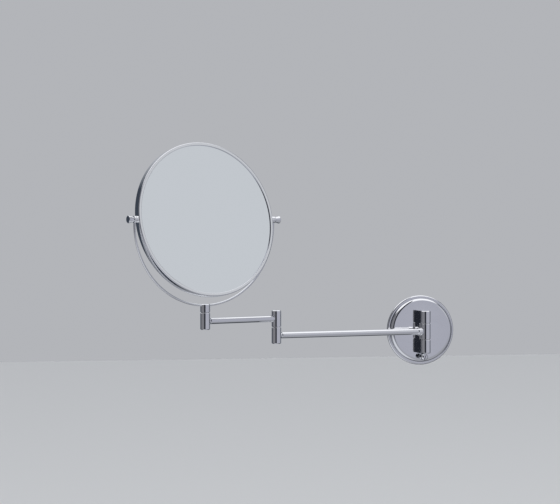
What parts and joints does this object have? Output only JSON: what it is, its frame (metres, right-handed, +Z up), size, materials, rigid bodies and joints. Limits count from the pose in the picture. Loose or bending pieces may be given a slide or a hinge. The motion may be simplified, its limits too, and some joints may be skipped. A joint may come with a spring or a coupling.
{
  "type": "extendable shaving mirror",
  "caption": "Round double-sided mirror in a half-circle yoke, carried by a folding two-part arm on a round wall plate.",
  "frame": {"origin": "centre of the round wall plate, on the wall", "axes": "+Z up, +Y into the wall, so the mirror stands out towards -Y with its arms towards -X"},
  "size_m": [0.4898, 0.1874, 0.298],
  "materials": {
    "chrome": "polished",
    "zinc_plated_steel": "satin",
    "steel_pin": "ground",
    "washer_plastic": "matte",
    "mirror_glass": "polished",
    "pad": "matte",
    "retainer_plastic": "matte"
  },
  "bodies": {
    "wall_mount": {"wall_backplate": "zinc_plated_steel", "carrier_plate": "zinc_plated_steel", "rose_flange": "chrome", "rose_cover": "chrome", "bracket_screws": "zinc_plated_steel", "cover_screw": "chrome", "wall_bracket": "chrome", "wall_pivot_pin": "steel_pin", "wall_pivot_washers": "washer_plastic", "wall_barrel_plugs": "chrome"},
    "long_arm": {"long_arm_wall_knuckle": "chrome", "long_arm_collar": "chrome", "long_arm_tube": "chrome", "long_arm_elbow_knuckle": "chrome", "elbow_pin": "steel_pin", "elbow_bottom_plug": "chrome"},
    "short_arm": {"short_arm_elbow_knuckle": "chrome", "elbow_top_plug": "chrome", "elbow_washer": "washer_plastic", "short_arm_tube": "chrome", "short_arm_mirror_knuckle": "chrome", "swivel_pin": "steel_pin", "swivel_bottom_plug": "chrome"},
    "yoke": {"yoke_hub": "chrome", "swivel_washer": "washer_plastic", "yoke_bow": "chrome", "yoke_ears": "chrome"},
    "mirror_head": {"head_band": "chrome", "front_bezel": "chrome", "back_bezel": "chrome", "plain_glass": "mirror_glass", "magnifying_glass": "mirror_glass", "backing_pad": "pad", "glass_retainer": "retainer_plastic", "pivot_bosses": "zinc_plated_steel", "pivot_screws": "steel_pin", "pivot_spacers": "chrome", "pivot_knobs": "chrome"}
  },
  "joints": [
    {"name": "wall_swing", "type": "hinge", "parent": "wall_mount", "child": "long_arm", "pos_m": [0, -0.0258, -0.0008], "axis": [0, 0, 1], "range_deg": [-19, 169]},
    {"name": "elbow_swing", "type": "hinge", "parent": "long_arm", "child": "short_arm", "pos_m": [-0.22535, -0.08618, 0.0213], "axis": [0, 0, 1], "continuous": true},
    {"name": "head_swivel", "type": "hinge", "parent": "short_arm", "child": "yoke", "pos_m": [-0.33372, -0.14478, 0.0379], "axis": [0, 0, 1], "continuous": true},
    {"name": "mirror_tilt", "type": "hinge", "parent": "yoke", "child": "mirror_head", "pos_m": [-0.33372, -0.14478, 0.15115], "axis": [0.9426, 0.3338, 0], "continuous": true}
  ]
}
